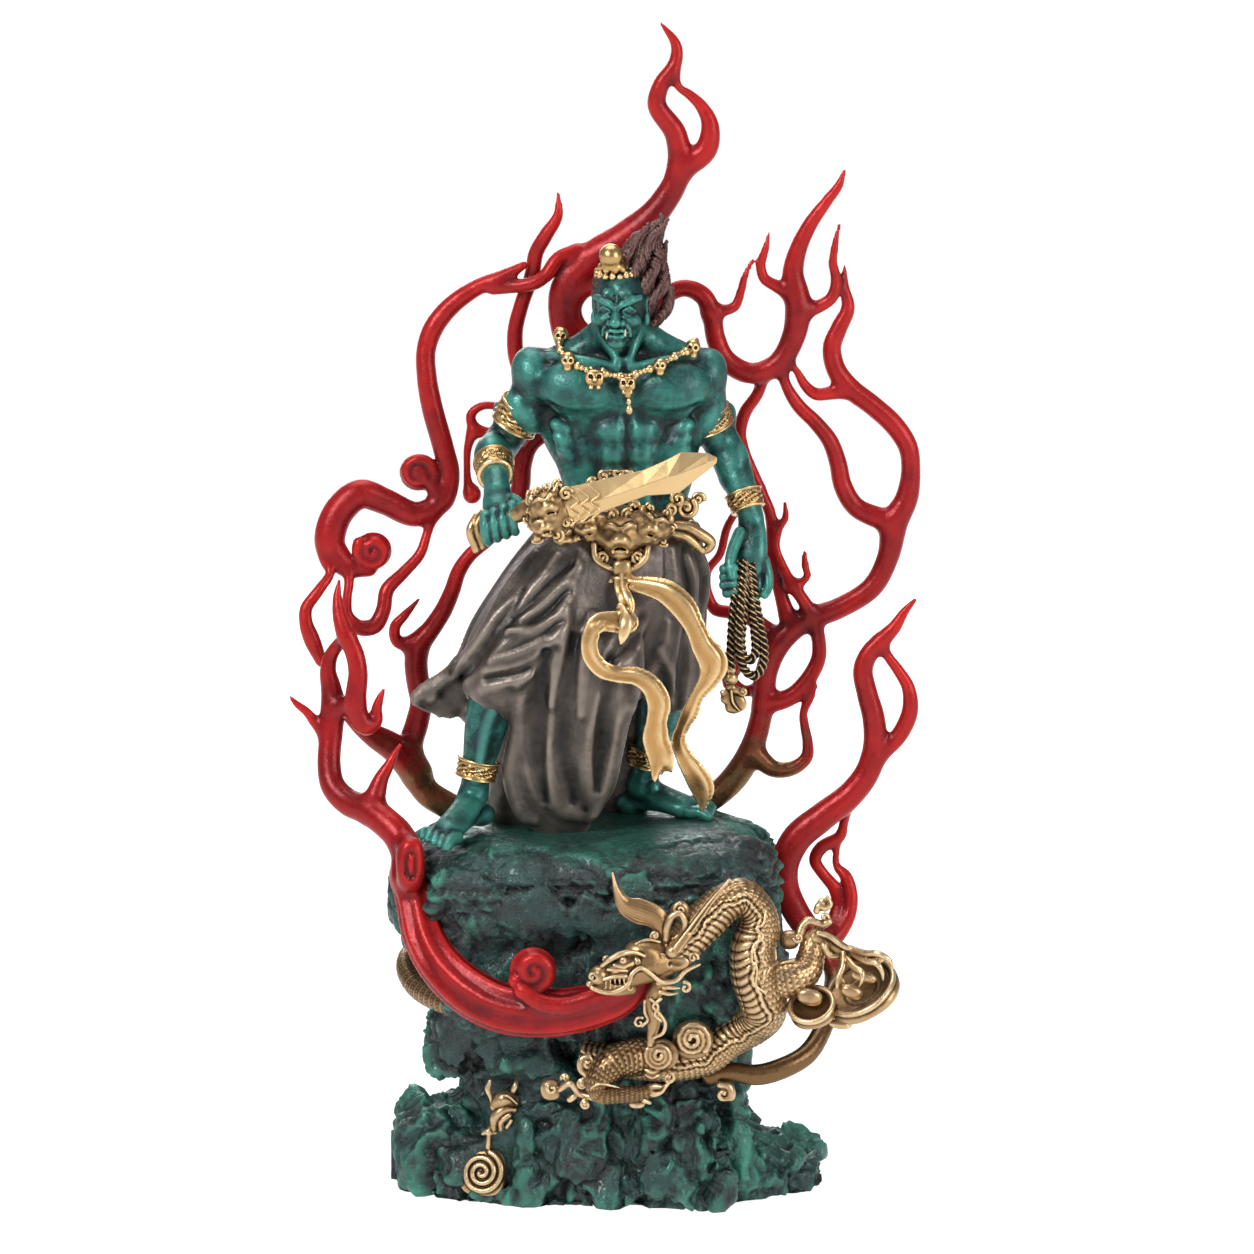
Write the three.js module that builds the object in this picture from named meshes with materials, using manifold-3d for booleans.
// A standing wrathful guardian in cast and patinated bronze, on a crag with a coiled dragon and a halo
// of flames.
// Units are millimetres, +Z is up, and the origin is the middle of the crag's flat underside.
import * as THREE from 'three';
import { mergeVertices } from 'three/addons/utils/BufferGeometryUtils.js';
import Module from 'manifold-3d';

const wasm = await Module();
wasm.setup();

// Driving dimensions
const DRAWING_TILT = THREE.MathUtils.degToRad(10); // the front drawing looks down on the piece by this much
const DRAWING_DISTANCE = 3200; // and from this far away
const DRAWING_CENTRE = { across: 8.5, up: 281, height: 285.3 };
const CRAG_TOP = 186; // height of the ledge that the figure stands on
const SEAT_GAP = 0.35; // clearance where one casting sits against the next
const FLAME_FLATNESS = 0.8; // a tongue's thickness over its width
const FLAME_SIDES = 4;
const FLAME_SLACK = 1.4; // how far a tongue's straight runs may cut its drawn bends
const FLAME_SWELL = 1.3; // a square section's corner reach over the round one that it stands for
const LIMB_SIDES = 6;
const COIN_SIDES = 14;
const HALO_SETBACK = 6; // how far the halo stands behind its drawn plane, clear of the robe

// Patinas
const CRAG_GREEN = { color: 0x1f3b35, roughness: 0.6, metalness: 0.5 };
const SKIN_GREEN = { color: 0x1f6f5c, roughness: 0.45, metalness: 0.4 };
const ROBE_GREY = { color: 0x4a4340, roughness: 0.5, metalness: 0.5 };
const FLAME_RED = { color: 0xa01418, roughness: 0.35, metalness: 0.3 };
const GOLD = { color: 0xb48a4e, roughness: 0.35, metalness: 0.9 };
const OLD_GOLD = { color: 0x7a5c34, roughness: 0.45, metalness: 0.9 };

// Drawing and solids

// A point of the front drawing, which is across, up and depth behind the middle, in the piece's own frame.
function placed([across, up, depth]) {
  const sideways = across - DRAWING_CENTRE.across;
  const upwards = up - DRAWING_CENTRE.up;
  const level = DRAWING_DISTANCE * Math.cos(DRAWING_TILT);
  const drop = DRAWING_DISTANCE * Math.sin(DRAWING_TILT);
  const scale = (depth + level) / (upwards * Math.sin(DRAWING_TILT) + level);
  const height = DRAWING_CENTRE.height + scale * upwards * Math.cos(DRAWING_TILT) - (scale - 1) * drop;
  return new THREE.Vector3(DRAWING_CENTRE.across + scale * sideways, depth, height);
}

// Turns a closed geometry into a solid, dropping the triangles that shrink to nothing at a pole.
function toSolid(geometry) {
  geometry.deleteAttribute('normal');
  geometry.deleteAttribute('uv');
  const merged = mergeVertices(geometry, 1e-3);
  const corners = merged.index.array;
  const kept = [];
  for (let i = 0; i < corners.length; i += 3) {
    const [a, b, c] = corners.slice(i, i + 3);
    if (a !== b && b !== c && c !== a) kept.push(a, b, c);
  }
  return new wasm.Manifold(new wasm.Mesh({
    numProp: 3,
    vertProperties: new Float32Array(merged.attributes.position.array),
    triVerts: new Uint32Array(kept),
  }));
}

function toGeometry(solid) {
  const mesh = solid.getMesh();
  const positions = new Float32Array(mesh.numVert * 3);
  for (let i = 0; i < mesh.numVert; i++) {
    positions.set(mesh.vertProperties.subarray(i * mesh.numProp, i * mesh.numProp + 3), i * 3);
  }
  const geometry = new THREE.BufferGeometry();
  geometry.setAttribute('position', new THREE.BufferAttribute(positions, 3));
  geometry.setIndex(new THREE.BufferAttribute(new Uint32Array(mesh.triVerts), 1));
  geometry.computeVertexNormals();
  return geometry;
}

// A round, flattened or pleated limb through stations of [across, up, depth, half width], closed by a blunt
// point at each end.
function limb(stations, { sides = LIMB_SIDES, flat = 1, grow = 0, swell = 1, pleat = 0 } = {}) {
  const curve = new THREE.CatmullRomCurve3(stations.map(placed), false, 'centripetal');
  const rings = stations.length - 1;
  const positions = [];
  for (let i = 0; i <= rings; i++) {
    const half = stations[i][3] * swell + grow;
    const centre = curve.getPoint(i / rings);
    const tangent = curve.getTangent(i / rings);
    const side = new THREE.Vector3().crossVectors(tangent, new THREE.Vector3(0, 1, 0)).normalize();
    const thick = new THREE.Vector3().crossVectors(side, tangent);
    if (i === 0) positions.push(...centre.clone().addScaledVector(tangent, -half / 2));
    for (let k = 0; k < sides; k++) {
      const angle = ((k + 0.5) / sides) * 2 * Math.PI;
      const reach = half * (1 - pleat * (k % 2));
      const rim = centre.clone().addScaledVector(side, reach * Math.cos(angle));
      positions.push(...rim.addScaledVector(thick, reach * flat * Math.sin(angle)));
    }
    if (i === rings) positions.push(...centre.clone().addScaledVector(tangent, half / 2));
  }
  const faces = [];
  const last = positions.length / 3 - 1;
  for (let k = 0; k < sides; k++) {
    const next = (k + 1) % sides;
    faces.push(0, 1 + next, 1 + k);
    for (let i = 0; i < rings; i++) {
      const low = 1 + i * sides;
      faces.push(low + k, low + next, low + sides + next, low + k, low + sides + next, low + sides + k);
    }
    faces.push(last, last - sides + k, last - sides + next);
  }
  const geometry = new THREE.BufferGeometry();
  geometry.setAttribute('position', new THREE.Float32BufferAttribute(positions, 3));
  geometry.setIndex(faces);
  const solid = toSolid(geometry);
  return solid.volume() > 0 ? solid : toSolid(geometry.setIndex(faces.slice().reverse()));
}

// An ellipsoid about a point of the drawing, squarer as its power grows.
function blob([across, up, depth], radii, { grow = 0, power = 2, around = 9, high = 6 } = {}) {
  const geometry = new THREE.SphereGeometry(1, around, high).rotateX(Math.PI / 2);
  const position = geometry.attributes.position;
  for (let i = 0; i < position.count; i++) {
    const p = new THREE.Vector3().fromBufferAttribute(position, i);
    const norm = (Math.abs(p.x) ** power + Math.abs(p.y) ** power + Math.abs(p.z) ** power) ** (1 / power);
    p.divideScalar(norm);
    position.setXYZ(i, p.x * (radii[0] + grow), p.y * (radii[1] + grow), p.z * (radii[2] + grow));
  }
  const centre = placed([across, up, depth]);
  geometry.translate(centre.x, centre.y, centre.z);
  return toSolid(geometry);
}

// A round dish or coin about a point of the drawing, with its axis along a direction.
function coin(point, axis, radius, thickness, grow = 0) {
  const half = thickness / 2 + grow;
  const outline = [[0, -half], [radius * 0.8, -half], [radius + grow, -half * 0.3],
    [radius + grow, half * 0.6], [radius * 0.85, half], [0, half]];
  const geometry = new THREE.LatheGeometry(outline.map(([r, h]) => new THREE.Vector2(r, h)), COIN_SIDES);
  const turn = new THREE.Quaternion().setFromUnitVectors(
    new THREE.Vector3(0, 1, 0), new THREE.Vector3(...axis).normalize());
  geometry.applyQuaternion(turn);
  const centre = placed(point);
  geometry.translate(centre.x, centre.y, centre.z);
  return toSolid(geometry);
}

const fused = (solids) => solids.reduce((whole, solid) => whole.add(solid));
const without = (solid, ...cutters) => cutters.reduce((rest, cutter) => rest.subtract(cutter), solid);
const largest = (solid) => solid.decompose().reduce((a, b) => (a.volume() > b.volume() ? a : b));

// The crag: boulders of [across, up, depth], radii and squareness, flat underneath

const BOULDERS = [
  { at: [-10, 158, -8], radii: [93, 74, 27], power: 3.4 }, // ledge
  { at: [-66, 144, -8], radii: [44.5, 50, 26], power: 2.8 }, // the ledge's overhang at the left
  { at: [-38, 118, -12], radii: [53, 58, 42], power: 3 },
  { at: [28, 118, -16], radii: [58, 62, 46], power: 3 },
  { at: [-12, 72, 0], radii: [68, 50, 42], power: 3 }, // waist
  { at: [-68, 78, -22], radii: [25, 27, 24], power: 2.5 },
  { at: [-8, 10, 2], radii: [97, 54, 33], power: 3 }, // foot
  { at: [-84, 18, 4], radii: [26, 34, 37], power: 2.2 },
  { at: [-24, 24, -32], radii: [40, 22, 28], power: 2.6 },
  { at: [38, 24, -36], radii: [31, 31, 40], power: 2.8 }, // front boulder
  { at: [86, 8, 2], radii: [27, 32, 21], power: 2.4 },
  { at: [37, 66, 34], radii: [33, 26, 58], power: 2.8 },
];

function crag(grow = 0) {
  const stones = BOULDERS.map(({ at, radii, power }) => blob(at, radii, { grow, power }));
  const floor = new THREE.BoxGeometry(400, 400, 200).translate(0, 0, -100 - grow);
  const sky = new THREE.BoxGeometry(400, 400, 200).translate(0, 0, CRAG_TOP + 100 + grow);
  return without(fused(stones), toSolid(floor), toSolid(sky));
}

// The figure, in limbs of [across, up, depth, half width]

const BODY_LIMBS = {
  neck: [[8, 398, 0, 15], [10, 414, -2, 12.5], [8, 432, -5, 11]],
  sword_shoulder: [[-8, 408, 2, 12], [-32, 404, 0, 14.5], [-41, 393, 2, 12.5], [-49, 381, 6, 10.5],
    [-55.5, 371, 9, 8.5]],
  sword_forearm: [[-55.5, 373, 9, 8.5], [-57, 366, -2, 9], [-56, 356, -18, 7.5], [-55.5, 350, -30, 6]],
  sword_hand: [[-56, 352, -30, 6.5], [-54, 341, -39, 9.5], [-51, 331, -43, 9]],
  rope_shoulder: [[22, 408, 2, 12], [42, 404, 2, 13.5], [46, 391, 4, 12], [50, 379, 6, 10],
    [56, 369, 8, 9]],
  rope_forearm: [[56, 369, 8, 9], [60.5, 361, 4, 9], [66, 350, -2, 7.5], [70, 340, -6, 6.2]],
  rope_hand: [[71, 337, -6, 6.5], [72, 324, -10, 8.5], [69, 312, -14, 8], [66, 304, -16, 6]],
  front_thigh: [[-6, 322, -2, 20], [-28, 296, -18, 20], [-50, 266, -33, 15]],
  front_shin: [[-50, 266, -33, 14], [-58, 243, -30, 12.5], [-63, 222, -28, 9], [-67, 204, -28, 7.5],
    [-69, 192, -29, 8]],
  front_foot: [[-66, 189, -22, 8], [-72, 184, -38, 8.5], [-80, 178, -52, 9.5], [-85, 172.5, -63, 7]],
  back_thigh: [[20, 322, 2, 20], [26, 290, 4, 19], [29, 256, 8, 14.5]],
  back_shin: [[29, 256, 8, 13], [26, 235, 14, 12], [21, 215, 19, 8.5], [18, 202, 20, 7.5]],
  back_foot: [[15, 200, 22, 8], [25, 194.5, 16, 8.5], [36, 190.5, 12, 8.5], [45, 189, 10, 6]],
};

const BODY_MASSES = [
  { at: [6, 392, 0], radii: [37, 23, 27] }, // ribs
  { at: [6, 362, 0], radii: [29, 20, 27] }, // belly
  { at: [7, 332, 1], radii: [30, 22, 20] }, // hips
  { at: [-12, 398, -14], radii: [20, 11, 14] }, // breast
  { at: [26, 398, -14], radii: [20, 11, 14] },
  { at: [5, 443, -8], radii: [13.5, 15.5, 21] }, // head
  { at: [10, 408, 4], radii: [28, 13, 14] }, // neck's root
  { at: [1.5, 466, -12], radii: [6.5, 6.5, 5] }, // crown ornament
];

// The hair is swept up and to one side in thick locks
const HAIR = [[12, 438, 4, 11], [14.5, 452, 1, 13.5], [15.5, 464, 2, 11], [20.5, 474, 3, 6.8],
  [25.5, 481, 4, 3.2], [26, 486, 4, 1]];
const HAIR_LOCKS = 9;
const HAIR_LOCK_DEPTH = 0.16;

// Arm rings, bracelets and anklets stand proud of the limb that they clasp
const BANDS = [
  [[-42.3, 392, 3.5, 13.2], [-48.6, 381.5, 6.5, 11.8]],
  [[47.4, 389, 4, 12.8], [51, 380.5, 6, 11.6]],
  [[-58.2, 363.4, -8.5, 10.2], [-57.2, 356.6, -22, 8.8]],
  [[66.3, 348.6, -2.5, 9.6], [69.4, 339.4, -6, 8.4]],
  [[-65.4, 215, -28, 10.4], [-67.4, 205.5, -28, 9.8]],
  [[19.6, 221, 18.6, 10], [17.6, 212, 20, 9.2]],
];

// The fingers that close round the grip, and those that the rope hangs over
const FINGER_COUNT = 4;
const FINGER_HALF_WIDTH = 2.8;
const GRIP_FINGER = { knuckle: [-62.3, 337, -47], bend: [-62.6, 331, -52.5], tip: [-61, 324, -47],
  step: [4.5, 1.7, 0] };
const ROPE_FINGER = { knuckle: [64, 314, -14], bend: [63.5, 305, -17], tip: [62.5, 297, -22],
  step: [4.4, 0, 0] };

function finger({ knuckle, bend, tip, step }, index, grow) {
  const stations = [knuckle, bend, tip].map((point) =>
    point.map((value, axis) => value + step[axis] * index));
  return limb(stations.map((point) => [...point, FINGER_HALF_WIDTH]), { sides: 4, grow });
}

function figure(grow = 0) {
  const limbs = Object.values(BODY_LIMBS).map((stations) => limb(stations, { grow }));
  const masses = BODY_MASSES.map(({ at, radii }) => blob(at, radii, { grow, around: 8, high: 5 }));
  const hair = limb(HAIR, { sides: 2 * HAIR_LOCKS, pleat: HAIR_LOCK_DEPTH, grow });
  const bands = BANDS.map((stations) => limb(stations, { grow }));
  const hands = [GRIP_FINGER, ROPE_FINGER].flatMap((hand) =>
    Array.from({ length: FINGER_COUNT }, (_, index) => finger(hand, index, grow)));
  return fused([...limbs, ...masses, hair, ...bands, ...hands]);
}

// The robe: hip wrap, drape over the forward thigh, blown tail, front panel and back fall

const ROBE_LIMBS = {
  hips: [[8, 326, 1, 31], [8, 314, 0, 36], [6, 296, 0, 40], [6, 270, 2, 39], [5, 240, 6, 36],
    [2, 214, 8, 34]],
  front_drape: [[-4, 318, -8, 28], [-26, 294, -22, 29], [-46, 268, -33, 24], [-54, 254, -33, 21]],
  rope_side: [[28, 322, 2, 18], [30, 296, 4, 18], [30, 262, 6, 18], [24, 226, 10, 16]],
  sword_side: [[-20, 290, -8, 22], [-34, 262, -12, 20], [-41, 236, -10, 16], [-44, 212, -8, 15],
    [-44, 193, -8, 13]],
};

const ROBE_TAIL = [[-12, 312, 6, 18], [-33, 285, 8, 19], [-53, 264, 6, 17], [-74, 251, 2, 9.5],
  [-97, 246, -4, 2]];
const ROBE_PANEL = [[4, 300, -24, 22], [-4, 270, -28, 23], [-14, 236, -28, 25], [-20, 206, -26, 27],
  [-20, 188, -24, 24]];
const ROBE_FLATNESS = 0.82;
const ROBE_SHEET_FLATNESS = 0.4;
const ROBE_PLEATS = 6; // round a fall of cloth
const SHEET_PLEATS = 4;
const PLEAT_DEPTH = 0.09; // of the half width

function robe(grow = 0) {
  const masses = Object.values(ROBE_LIMBS).map((stations) => limb(stations, {
    sides: 2 * ROBE_PLEATS, flat: ROBE_FLATNESS, pleat: PLEAT_DEPTH, grow,
  }));
  const sheets = [ROBE_TAIL, ROBE_PANEL].map((stations) => limb(stations, {
    sides: 2 * SHEET_PLEATS, flat: ROBE_SHEET_FLATNESS, pleat: 2 * PLEAT_DEPTH, grow,
  }));
  return fused([...masses, ...sheets]);
}

// The belt with its mask buckle, and the two ribbons that fly from it

const BELT = {
  mask: [[6, 322, -30], [17, 9, 16]],
  ring: [[6, 329, 0], [38, 31, 9]],
  knot: [[38, 327, -16], [12, 10, 12]],
  hilt_side: [[-20, 322, -22], [12, 10, 10]],
};

const RIBBONS = {
  curl: [[6, 314, -32, 3.5], [6, 304, -40, 3.5], [7, 292, -46, 4], [6, 281, -50, 4], [-2, 280, -52, 4.5],
    [-10, 270, -52, 4], [-4, 259, -53, 4], [10, 256, -54, 4.5], [22, 248, -56, 5], [24, 238, -56, 5],
    [22, 226, -54, 6.5], [24, 215, -52, 4], [22, 207, -50, 1.5]],
  long: [[7, 312, -32, 4], [10, 302, -41, 4], [20, 300, -45, 5.5], [34, 294, -50, 6], [43, 279, -52, 4.5],
    [50, 264, -52, 7], [46, 252, -50, 5.5], [40, 238, -46, 3.5], [34, 226, -42, 3.5], [38, 212, -40, 4.5],
    [45, 203, -38, 6], [46, 190.5, -36, 1.5]],
};

const RIBBON_FLATNESS = 0.5;

function belt(grow = 0) {
  const ornaments = Object.values(BELT).map(([at, radii]) =>
    blob(at, radii, { grow, around: 10, high: 5 }));
  const ribbons = Object.values(RIBBONS).map((stations) =>
    limb(stations, { sides: 4, flat: RIBBON_FLATNESS, grow }));
  return fused([...ornaments, ...ribbons]);
}

// The sword: pommel, grip, lion guard and a broad blade

const SWORD_GRIP = [[-65, 328, -40, 4.5], [-56, 334, -46, 4.5], [-40, 338, -52, 4.5], [-24, 341, -57, 4.5]];
const SWORD_POMMEL = [[-63, 330, -41], [5.5, 6, 10.5]];
const SWORD_GUARD = [[-30, 339, -56], [12, 9, 16]];
const BLADE_OUTLINE = [[-30, 331], [-6, 337.5], [18, 346.5], [33.5, 348], [49, 359.5], [54.5, 364.5],
  [49, 368], [35.5, 368.5], [16.5, 359.5], [-7.5, 354], [-30, 350]];
const BLADE_SPINE = [[-30, 341], [54, 364.5]]; // the ridge along the middle of each cheek
const BLADE_THICKNESS = 6;
const BLADE_DEPTH = -59;
const BLADE_BEVEL = 0.5; // share of the width that slopes from the spine down to the edge

function blade(grow = 0) {
  const outline = new THREE.Shape(BLADE_OUTLINE.map(([across, up]) => new THREE.Vector2(across, up)));
  const thickness = BLADE_THICKNESS + 2 * grow;
  const geometry = new THREE.ExtrudeGeometry(outline, { depth: thickness, steps: 2, bevelEnabled: false });
  const [start, end] = BLADE_SPINE.map(([across, up]) => new THREE.Vector3(across, up, 0));
  const spine = new THREE.Line3(start, end);
  const position = geometry.attributes.position;
  for (let i = 0; i < position.count; i++) {
    const side = position.getZ(i) / thickness * 2 - 1;
    const edge = new THREE.Vector3(position.getX(i), position.getY(i), 0);
    const root = spine.closestPointToPoint(edge, true, new THREE.Vector3());
    const outward = edge.clone().sub(root);
    const reach = outward.length() * (1 - BLADE_BEVEL * Math.abs(side)) + grow;
    const corner = root.addScaledVector(outward.normalize(), reach);
    const p = placed([corner.x, corner.y, BLADE_DEPTH - side * thickness / 2]);
    position.setXYZ(i, p.x, p.y, p.z);
  }
  return toSolid(geometry);
}

function sword(grow = 0) {
  const grip = limb(SWORD_GRIP, { sides: 8, grow });
  const ends = [SWORD_POMMEL, SWORD_GUARD].map(([at, radii]) =>
    blob(at, radii, { grow, around: 8, high: 5 }));
  return fused([grip, ...ends, blade(grow)]);
}

// The noose: a hank of rope held in the hand, with its weight

const ROPE_STRANDS = {
  weighted_end: [[66, 314, -18, 3.2], [62, 292, -26, 3.2], [60, 272, -28, 3], [59, 256, -28, 2.8]],
  loop_left: [[68, 314, -18, 3.2], [66, 292, -25, 3.2], [66, 272, -26, 3.2], [68, 260, -26, 3]],
  loop_right: [[70, 314, -18, 3.2], [73, 292, -23, 3.2], [74.5, 274, -24, 3.2], [72, 260, -25, 3]],
  loop_foot: [[64.5, 264, -26, 2.8], [70, 257, -26, 3.2], [76, 264, -25, 2.8]],
};
const ROPE_WEIGHT = [[[59, 254, -27], [4.5, 4.5, 4.5]], [[60, 244, -27], [8, 4, 9]]];

function rope(grow = 0) {
  const strands = Object.values(ROPE_STRANDS).map((stations) => limb(stations, { sides: 4, grow }));
  const weights = ROPE_WEIGHT.map(([at, radii]) => blob(at, radii, { grow, around: 8, high: 5 }));
  return fused([...strands, ...weights]);
}

// Tongues of the halo, in stations of [across, up, depth, half width]

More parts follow.
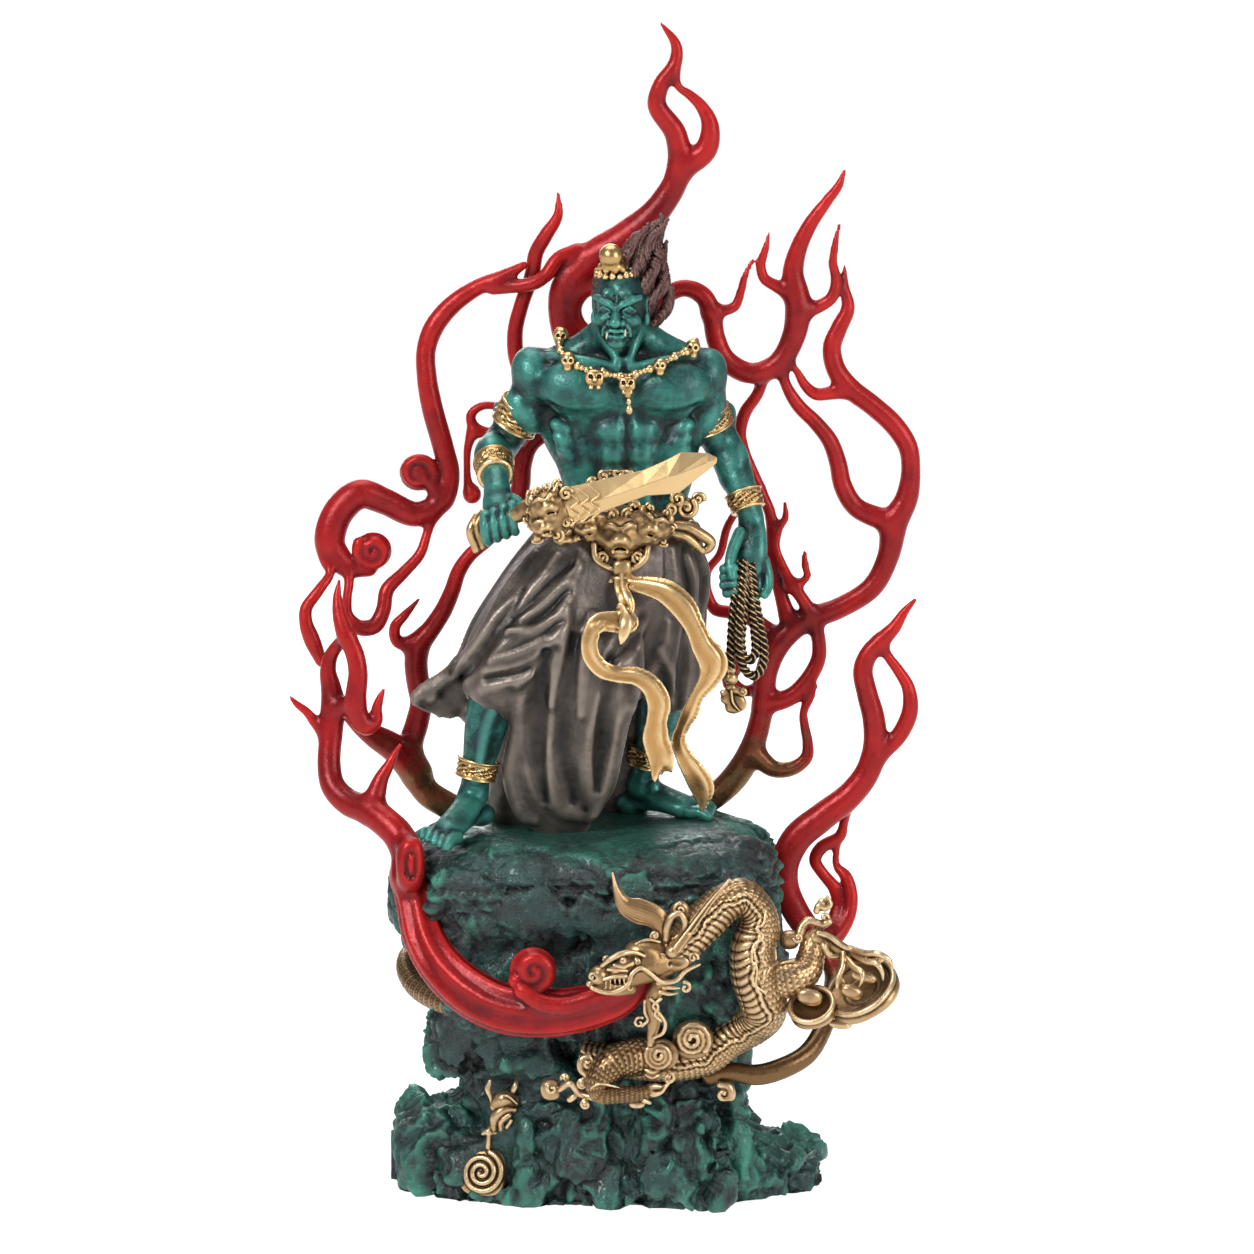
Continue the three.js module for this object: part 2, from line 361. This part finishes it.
const HALO = {
  hub: [[-14, 386, 30, 6], [6, 394, 31, 9], [16, 412, 32, 6]],
  crest: [[4, 396, 32, 7], [-13, 412, 32, 7.5], [-22, 430, 32, 7.5], [-22, 450, 32, 8], [-10, 464, 32, 9],
    [8, 475, 31, 8.5], [24, 490, 30, 6.5], [34, 508, 29, 6], [33, 527, 28, 5.2], [23.5, 542, 27, 4.4],
    [25.5, 552, 26, 4], [32.5, 563, 26, 3.4], [33, 572, 26, 2.6], [25.5, 583, 26, 0.8]],
  crest_eye: [[10, 462, 30, 7], [-4, 453, 29, 5], [-13, 449, 29, 4], [-18, 440, 29, 3.7], [-15, 431, 29, 4],
    [-7, 426, 29, 4.5], [1, 432, 30, 4.5], [6, 446, 31, 6]],
  crest_loop: [[38, 510, 29, 5.5], [48, 520, 28, 5.5], [50, 532, 27, 4.2], [46, 541, 27, 3],
    [40, 547, 27, 2.4], [34.5, 551, 26, 2], [32, 558, 26, 2.4]],
  left_tongue: [[-10, 390, 28, 5], [-25, 392, 30, 4], [-37, 400, 32, 4], [-45, 413, 33, 4],
    [-47, 428, 33, 3.8], [-43, 443, 33, 3.5], [-38, 457, 33, 3.7], [-36, 468, 32, 3.4], [-30, 478, 31, 3.2],
    [-25, 488, 30, 2.3], [-26, 498, 30, 0.8]],
  left_link: [[-17, 469, 30, 4], [-26, 465, 28, 3.6], [-32, 457, 26, 3.4], [-38, 453, 25, 3.4],
    [-46, 452, 26, 3.2], [-58, 451, 28, 3]],
  left_arc: [[-43, 463, 27, 2], [-54, 459, 28, 3.5], [-65, 454, 29, 3.9], [-78, 445, 28, 4.6],
    [-87, 434, 27, 5], [-90.5, 423, 26, 4.6], [-89.5, 407, 24, 5], [-87, 393, 23, 5.4],
    [-81.5, 372, 22, 5.2], [-79.5, 357, 21, 5.2], [-84, 344.5, 20, 5.5], [-97, 336.5, 18, 6],
    [-113, 343, 16, 6.2], [-125, 346.5, 14, 6.8], [-136, 336, 12, 7.2], [-138, 322, 10, 7.8],
    [-130, 312, 10, 6], [-119, 312, 10, 5]],
  left_root_outer: [[-140, 322, 10, 4], [-141, 314, 7, 2.6], [-138.5, 308, 4, 2.3], [-144.5, 299.5, 0, 2.6],
    [-151, 290, -2, 3], [-151.5, 283, -3, 3.3], [-147.5, 274.5, -3, 4], [-144.5, 267, -3, 2.6]],
  left_root_inner: [[-135, 318, 10, 3], [-132, 310, 7, 2.1], [-130.5, 304, 5, 2.3], [-131.5, 295, 3, 2.3],
    [-131, 287, 3, 2.6], [-126, 281, 3, 3.8], [-118, 282, 4, 4], [-114, 289, 6, 3.7],
    [-111.5, 299.5, 8, 3.5], [-103.5, 307.5, 11, 3], [-94, 317, 14, 2.6], [-91.5, 327.5, 17, 2.2],
    [-88, 337, 19, 2]],
  left_stem: [[-60, 180, 34, 6.8], [-76, 189.5, 31, 7.2], [-89, 198, 30, 7.2], [-96.5, 210, 30, 6.8],
    [-99.5, 222, 30, 6.2], [-96.5, 233, 30, 6], [-94.5, 243, 30, 5.5], [-97, 253, 30, 5.7],
    [-98, 264, 30, 6], [-95.5, 273, 30, 6], [-89.5, 280, 30, 5], [-83.5, 288, 30, 4.2],
    [-78.5, 298, 30, 3.8], [-75, 308, 30, 3.6], [-70, 316, 30, 3.4], [-62, 323, 30, 3.4],
    [-52, 335, 30, 3.7], [-45, 350, 30, 4.6], [-44, 362, 30, 5], [-40, 372, 30, 4.5], [-29, 380, 30, 4.2],
    [-10, 388, 30, 5]],
  left_stem_hook: [[-98, 274, 30, 4.5], [-106.5, 274, 29, 3.2], [-107, 281, 28, 2.7],
    [-103, 286.5, 28, 2.2], [-99, 291, 28, 1.5], [-95, 295.5, 28, 0.7]],
  left_stem_bridge: [[-98, 212, 29, 6], [-107.5, 222, 24, 5.6], [-117, 227.5, 19, 4.8],
    [-125, 231, 13, 3.5], [-131, 234, 6, 2]],
  upper_scroll: [[-84, 345, 20, 4.5], [-90, 353, 19, 4], [-96, 358, 19, 4]],
  left_knob: [[-48, 372, 30, 3], [-60, 378, 28, 2.8], [-69, 379, 28, 3], [-72, 372, 28, 2.1],
    [-72.5, 362, 28, 1.8], [-71, 353, 28, 2.4], [-69, 347, 28, 4.5]],
  left_knob_loop: [[-69, 379, 28, 2.6], [-70.5, 387, 28, 2.3], [-65, 392.5, 28, 2], [-55, 392, 28, 2],
    [-42, 386, 29, 2.5], [-34, 380, 30, 3]],
  right_ring: [[10, 410, 32, 6], [21, 436, 32, 5], [28.5, 447, 32, 4.5], [37.5, 451, 32, 4.2],
    [46, 447, 32, 4.6], [50.5, 437, 32, 4.6], [52, 427, 32, 4.8], [57, 416, 32, 5], [70, 409, 32, 5],
    [84, 415, 32, 5.2], [92.5, 431, 32, 5.5], [94, 445, 32, 6.4], [91.5, 460, 32, 5], [94.5, 473, 31, 4],
    [99.5, 484.5, 30, 3.5], [108, 496, 29, 2.8], [114, 503, 28, 2.1], [117.3, 509.5, 28, 0.8]],
  right_ring_inner_tongue: [[91, 449, 32, 3.6], [83, 452.5, 31, 2.9], [77.7, 455.5, 31, 2.6],
    [76, 461.5, 31, 2.4], [77.7, 469.5, 30, 1.9], [79.5, 478, 30, 0.7]],
  right_ring_outer_tongue: [[96.5, 441.5, 32, 4], [104.7, 443.5, 32, 3], [110.5, 447.5, 31, 2.8],
    [112.5, 455.5, 31, 2.5], [111, 463.5, 30, 2.2], [112.7, 473, 30, 1.7], [114.7, 482.5, 30, 0.7]],
  right_ring_small_tongue: [[50, 439.5, 31, 3.5], [56.5, 440.7, 31, 2.7], [62, 443, 31, 2.3],
    [65, 450, 31, 2], [66.3, 455.7, 30, 1.7], [70.5, 464.3, 30, 0.7]],
  right_stem: [[117.3, 461.5, 34, 0.8], [116.8, 451, 34, 2.3], [118, 440.5, 34, 3.3], [112.7, 430.5, 34, 4],
    [110.5, 421, 34, 4.3], [114, 411, 34, 4.8], [121, 401.5, 34, 5], [132.3, 393.5, 34, 5],
    [142.5, 383.5, 34, 5], [149.5, 372, 34, 5], [151, 360.5, 34, 5], [148, 347, 34, 5.5],
    [141, 334.5, 34, 6.3], [137.5, 317, 34, 5.3], [129, 302, 34, 5.2], [112.5, 292.5, 34, 5.2],
    [95, 286, 34, 5.8], [84, 273.5, 34, 6], [77.5, 259.5, 34, 5.5], [75.5, 241.5, 34, 5.2],
    [72, 224.5, 36, 5.8], [63, 209.5, 38, 6.8], [51, 198.5, 38, 6.6], [37, 190, 38, 6.4], [22, 182, 38, 6]],
  right_stem_barb: [[116, 401, 34, 3.6], [110.5, 400, 33, 3.3], [103.5, 399, 33, 3], [98, 403, 33, 2.4],
    [94.5, 409, 32, 1.8], [91.5, 413, 32, 1]],
  right_inner: [[86, 415, 32, 2.5], [88.5, 403, 32, 2.5], [94.3, 393.5, 33, 3.2], [103.5, 384.5, 33, 3.5],
    [110.5, 375, 33, 4], [114, 364, 34, 4.3], [116, 352.5, 34, 4.6], [122.5, 343, 34, 4.6],
    [138, 335.5, 34, 5.5]],
  back_strand: [[76, 406, 34, 3], [74, 398, 36, 3], [67.4, 388, 38, 3.3], [65, 378, 38, 3.3],
    [67.4, 368, 38, 2.9], [72.4, 356.5, 38, 2.8], [76.5, 346.5, 38, 3], [80, 338, 38, 3], [81, 328, 38, 3],
    [80.3, 317.5, 37, 2.8], [82.5, 307, 36, 3], [85.5, 297, 35, 3.5], [88.5, 287, 34, 4.5]],
  lower_loop: [[87.5, 343, 36, 1], [87.7, 335.7, 36, 1.6], [84.5, 330, 36, 1.8], [83, 321.5, 35, 1.9],
    [86.5, 311, 33, 2.4], [91.5, 301.5, 31, 2.9], [96.5, 294, 31, 3.2], [101, 284.5, 33, 3.5],
    [103.5, 273, 34, 3.5], [103, 265.5, 34, 3.7], [98.5, 256, 33, 4], [91, 248.5, 33, 4.3],
    [83, 245, 33, 4.5], [76, 245, 34, 4]],
  lower_bud: [[97.3, 318, 31, 1.3], [97.3, 311.7, 31, 1.8], [98, 306.7, 31, 1.8], [94, 303.5, 31, 2],
    [90, 302.5, 32, 2.4]],
  foot_loop: [[72, 220, 35, 5], [81.8, 212, 34, 3.8], [91, 212.5, 33, 3.3], [97.8, 217, 33, 3],
    [98, 223.5, 33, 2.6], [97, 231, 33, 2.3], [96.3, 238.5, 32, 2.1], [100, 245.5, 31, 1.9],
    [102.8, 251, 31, 1]],
  far_loop: [[74, 350, 40, 2.4], [67.5, 342, 44, 2], [62.8, 338, 48, 2], [58.3, 330, 50, 2.2],
    [55, 317.5, 50, 2.2], [48.8, 309, 50, 2.3], [48.3, 299, 50, 2.8], [52.5, 290, 49, 3.3],
    [59, 288.5, 47, 3.5], [70, 285.5, 40, 4], [82, 277, 36, 4.5]],
  far_knob: [[77, 252, 36, 3.5], [67.5, 249, 40, 3], [60, 253, 42, 4]],
};

// Scrolls are flat round ends of a tongue: [across, up, depth] and radius
const HALO_SCROLLS = [
  [[-118.5, 319, 8], 11],
  [[-96, 358, 19], 11],
  [[59, 261, 42], 8.5],
  [[-69, 348, 28], 5.4],
];
const SCROLL_THICKNESS = 0.55; // of its radius

// Drops the stations that lie within the slack of the straight line between the ones that are kept.
function needed(stations, slack) {
  const line = new THREE.Line3(placed(stations[0]), placed(stations.at(-1)));
  const strays = stations.slice(1, -1).map((station) => {
    const place = placed(station);
    return line.closestPointToPoint(place, true, new THREE.Vector3()).distanceTo(place);
  });
  const most = Math.max(0, ...strays);
  if (most < slack) return [stations[0], stations.at(-1)];
  const bend = strays.indexOf(most) + 1;
  return [...needed(stations.slice(0, bend + 1), slack).slice(0, -1), ...needed(stations.slice(bend), slack)];
}

function tongues(table, scrolls, { grow = 0, flat = FLAME_FLATNESS } = {}) {
  const limbs = Object.values(table).map((stations) => limb(needed(stations, FLAME_SLACK), {
    sides: FLAME_SIDES, flat, grow, swell: FLAME_SWELL,
  }));
  const ends = scrolls.map(([at, radius]) => blob(at, [radius, radius * SCROLL_THICKNESS, radius],
    { grow, around: 10, high: 4 }));
  return fused([...limbs, ...ends]);
}

// Moves a station or a scroll's middle further back, at the same place in the drawing.
const setBack = ([across, up, depth, ...rest]) => [across, up, depth + HALO_SETBACK, ...rest];

function halo(grow = 0) {
  const table = Object.fromEntries(
    Object.entries(HALO).map(([name, stations]) => [name, stations.map(setBack)]));
  const scrolls = HALO_SCROLLS.map(([at, radius]) => [setBack(at), radius]);
  return tongues(table, scrolls, { grow });
}

// The fire that the dragon breathes across the crag and up its left side

const BREATH = {
  sweep: [[19, 106, -97, 4.5], [5, 97, -97, 8], [-10, 92, -96, 10], [-31, 89, -94, 11],
    [-54, 91.5, -90, 11], [-71, 100, -84, 10.5], [-84.5, 112.5, -76, 9.5], [-92.5, 127, -67, 9],
    [-97, 143, -59, 8.5], [-101, 156, -54, 8], [-102, 168, -50, 7.5], [-106, 178, -46, 7.2],
    [-112, 184, -42, 7], [-120, 190, -36, 7], [-130, 194.5, -29, 6.3], [-137.5, 202, -24, 5.8],
    [-139.5, 212, -20, 5.6], [-139, 223, -17, 5.5], [-138, 234, -15, 5.7], [-138, 242, -14, 5.8],
    [-139, 250.5, -13, 5], [-140.5, 258.5, -13, 4], [-139.5, 266, -13, 3.5], [-136, 272, -15, 3.2],
    [-131, 276, -20, 3.5]],
  scroll_strand: [[5, 100, -101, 4], [-8, 96, -103, 4.2], [-21, 92, -103, 4.4], [-34, 93, -102, 4.4],
    [-44, 99, -100, 4]],
  roll: [[-101, 174, -52, 5], [-101, 168, -61, 6], [-100.5, 158, -64, 6.2], [-100, 150.5, -58, 5.5]],
  front_tongue: [[-135.5, 304, -16, 0.8], [-136.3, 297, -17, 2.1], [-135.5, 287.5, -19, 3.3],
    [-132.3, 277.5, -21, 4.2], [-127.5, 268.5, -22, 4.4], [-125.5, 258, -23, 4.6], [-127, 247, -23, 5],
    [-126.5, 238.5, -23, 5], [-122, 232, -23, 4.5], [-118, 235, -22, 3.5], [-117, 241, -22, 2.5],
    [-115, 246, -22, 1.8], [-113, 250, -22, 0.7]],
  front_tongue_root: [[-137, 242, -14, 4.5], [-128, 244.5, -22, 4.2]],
  left_barb: [[-140, 228, -15, 3.4], [-147, 234.3, -15, 2.4], [-151, 239.5, -15, 2],
    [-156.5, 243, -15, 1.6], [-160, 246, -15, 0.8]],
  inner_barb: [[-119, 190.5, -35, 6], [-117, 198.5, -34, 4.6], [-114.5, 205.5, -33, 3.5],
    [-110.8, 211.5, -32, 2.6], [-107.5, 218, -31, 1.6], [-103.7, 223.5, -30, 0.7]],
};
const BREATH_SCROLLS = [[[-39.3, 110, -96], 12]];

const breath = (grow = 0) => tongues(BREATH, BREATH_SCROLLS, { grow });

// The flame that rises from the crag's right side

const SIDE_FLAME = {
  trunk: [[153, 295, 0, 0.9], [147.5, 289, 0, 2], [142.3, 281, 0, 3.2], [136, 274.5, 0, 4],
    [129.5, 268.5, 0, 4.3], [126, 260, 0, 4.6], [128.5, 247.5, 0, 4.8], [131.5, 235.5, 0, 5.3],
    [132, 223, 0, 5.5], [128.5, 210.5, 0, 5.8], [120.5, 199, 0, 6], [106, 187.5, 0, 6.5], [94, 176.5, 0, 7],
    [87.8, 162.5, 0, 7], [88, 150.5, 0, 6.8], [93, 138.5, 0, 6.5], [100, 128.5, 0, 6.2],
    [108, 119.5, -4, 6], [112, 110, -8, 5]],
  loop: [[135, 275, 0, 2.4], [138.5, 267.5, 0, 2.2], [144.4, 259.5, 0, 2.7], [149.5, 250.5, 0, 3.4],
    [150, 239, 0, 4.2], [145, 228, 0, 4.2], [138, 220, 0, 3.8], [131, 216, 0, 3.6]],
  inner_strand: [[119, 192, 3, 3], [116.9, 183, 8, 2.4], [115, 176.5, 9, 3], [106, 171, 9, 3.4],
    [102.5, 164.5, 9, 3.2], [106.5, 157.5, 9, 3], [112, 150.5, 8, 3.2], [114, 142, 7, 3.5],
    [111, 132, 4, 4], [105, 123.5, 0, 4.5]],
  root: [[108, 121, -4, 5], [112, 108, -12, 5], [110, 94, -28, 5], [106, 79, -44, 4.6], [98, 67, -54, 5],
    [84, 59.5, -60, 5.2], [72.5, 57, -62, 5.2], [61, 58.5, -62, 4.8], [50, 56, -60, 4.2]],
  outer_bud: [[113.3, 171, 10, 1.7], [113.3, 161.7, 10, 2], [117.9, 156.5, 8, 3], [120.5, 148.5, 6, 3.3],
    [120, 138.5, 4, 3.5], [115, 128.5, 1, 4], [108, 121, -3, 4.5]],
};

const sideFlame = (grow = 0) => tongues(SIDE_FLAME, [], { grow });

// The dragon: body, head, horn, mane, legs, dishes and cloud scrolls

const DRAGON_LIMBS = {
  body: [[27, 114, -100, 8], [37, 124, -98, 9.6], [49.5, 135.8, -94, 10], [65.7, 146, -88, 9],
    [73.5, 139.5, -86, 9.6], [74.5, 130, -86, 10.8], [71.5, 120, -88, 11.6], [72, 108, -89, 12],
    [76, 96.5, -87, 12.2], [77, 88.5, -82, 11.2], [70.5, 81.5, -75, 10], [60, 75.5, -72, 9.4],
    [48, 66.5, -71, 9.2], [30, 62.5, -72, 9], [8, 64, -68, 8.4], [-12, 68, -58, 7.4]],
  snout: [[32, 114, -102, 8], [18, 110, -108, 9.5], [4, 104, -110, 8], [-8, 101, -110, 5]],
  jaw: [[24, 106, -103, 5], [20, 96, -104, 4.5], [23, 84, -100, 4.5], [23, 72, -94, 3.5]],
  horn: [[28, 118, -108, 2.6], [40, 132, -106, 2], [56, 153, -100, 0.8]],
  mane: [[27, 122, -104, 4], [18, 136, -101, 5], [6, 141, -98, 3.4], [1.5, 152, -94, 0.8]],
  foreleg: [[72, 104, -86, 8.6], [84, 104, -86, 9.6], [93, 106.5, -86, 8.8], [100, 112, -83, 7.2],
    [102, 124, -78, 6.4], [112, 121.5, -80, 5], [126, 116, -83, 4.8], [134, 112, -84, 4.2]],
  thumb: [[114, 121, -81, 4.6], [115.5, 111, -85, 4], [118, 101, -87, 3.4]],
  outer_claws: [[126, 117, -84, 4.4], [133, 112, -86, 4], [134, 104, -84, 3.4]],
  knee_plume: [[100, 126, -79, 4], [98.5, 133, -78, 3.2], [107, 133.5, -77, 3], [104.5, 140, -76, 3],
    [109.5, 141.5, -76, 2.4], [108, 146.5, -76, 1]],
  dish_root: [[78, 92, -84, 8], [96, 90, -88, 6]],
  hind_thigh: [[20, 66, -78, 8], [4, 66, -82, 9.5], [-4, 56, -86, 8], [6, 49, -88, 5.5], [22, 50, -88, 4.5],
    [29, 58, -86, 2]],
  clouds: [[-2, 54, -82, 4], [-14, 54, -84, 4.5], [-23, 57, -80, 4], [-33, 51, -76, 5]],
};
const DRAGON_BLOBS = [[[41, 75, -82], [10.5, 7, 10.5]], [[26, 67, -86], [9, 6, 9]],
  [[57, 48, -64], [5.5, 4, 5.5]]];
const BIG_DISH = { at: [126, 99.5, -84], axis: [-0.445, -0.45, 0.77], radius: 19, thickness: 5 };
const SMALL_DISH = { at: [101, 91, -90], axis: [-0.2, -0.62, 0.76], radius: 11.5, thickness: 5 };

function dragon(grow = 0) {
  const limbs = Object.values(DRAGON_LIMBS).map((stations) => limb(stations, { sides: 5, grow }));
  const blobs = DRAGON_BLOBS.map(([at, radii]) => blob(at, radii, { grow, around: 8, high: 5 }));
  const dishes = [BIG_DISH, SMALL_DISH].map(({ at, axis, radius, thickness }) =>
    coin(at, axis, radius, thickness, grow));
  return fused([...limbs, ...blobs, ...dishes]);
}

// The dragon's tail, round the back of the crag and out at its left
const TAIL = [[60, 96, 44, 7], [28, 108, 51, 7.5], [-20, 120, 51, 7], [-62, 124, 49, 6.4],
  [-88, 121.5, 34, 5.8], [-99, 118, 15, 5.2], [-102.2, 111.5, 0, 4.9], [-100.2, 105.5, -10, 5.2],
  [-95.4, 100, -20, 5.6], [-86, 94.6, -34, 5.8], [-75, 90.5, -48, 5.4], [-60, 88, -60, 4]];

// The spiral coin and its cloud, on the crag's foot
const PENDANT = { at: [-63.4, 8.2, -42], axis: [-0.25, -0.93, 0.28], radius: 11.8, thickness: 6 };
const PENDANT_STEM = [[-61, 20, -40, 1.8], [-60, 28, -42, 2], [-55, 37, -44, 4], [-52, 43, -44, 4.5],
  [-57, 52, -42, 3]];

function pendant(grow = 0) {
  const { at, axis, radius, thickness } = PENDANT;
  return fused([coin(at, axis, radius, thickness, grow), limb(PENDANT_STEM, { sides: 8, grow })]);
}

// Assembly: each casting is cut back from the ones that it sits against

function casting(name, solid, patina) {
  const mesh = new THREE.Mesh(toGeometry(largest(solid)), new THREE.MeshStandardMaterial(patina));
  mesh.name = name;
  return mesh;
}

const seat = SEAT_GAP;
const around = { crag: crag(seat), figure: figure(seat), robe: robe(seat), belt: belt(seat),
  dragon: dragon(seat), breath: breath(seat) };
const tail = (grow) => limb(TAIL, { sides: 8, grow });

const statue = new THREE.Group();
statue.add(
  casting('rock_base', crag(), CRAG_GREEN),
  casting('figure', without(figure(), around.crag), SKIN_GREEN),
  casting('robe', without(robe(), around.figure, around.crag), ROBE_GREY),
  casting('belt_and_ribbons', without(belt(), around.figure, around.robe, around.crag), GOLD),
  casting('sword', without(sword(), around.figure, around.robe, around.belt), GOLD),
  casting('noose_rope', without(rope(), around.figure, around.robe, around.belt), OLD_GOLD),
  casting('dragon', without(dragon(), around.crag), GOLD),
  casting('dragon_tail', without(tail(0), around.crag), OLD_GOLD),
  casting('breath_flame', without(breath(), around.crag, around.dragon, tail(seat), around.figure),
    FLAME_RED),
  casting('side_flame', without(sideFlame(), around.crag, around.dragon), FLAME_RED),
  casting('flame_halo', without(halo(), around.crag, around.figure, around.robe, around.breath), FLAME_RED),
  casting('cloud_pendant', without(pendant(), around.crag), GOLD),
);

export default statue;
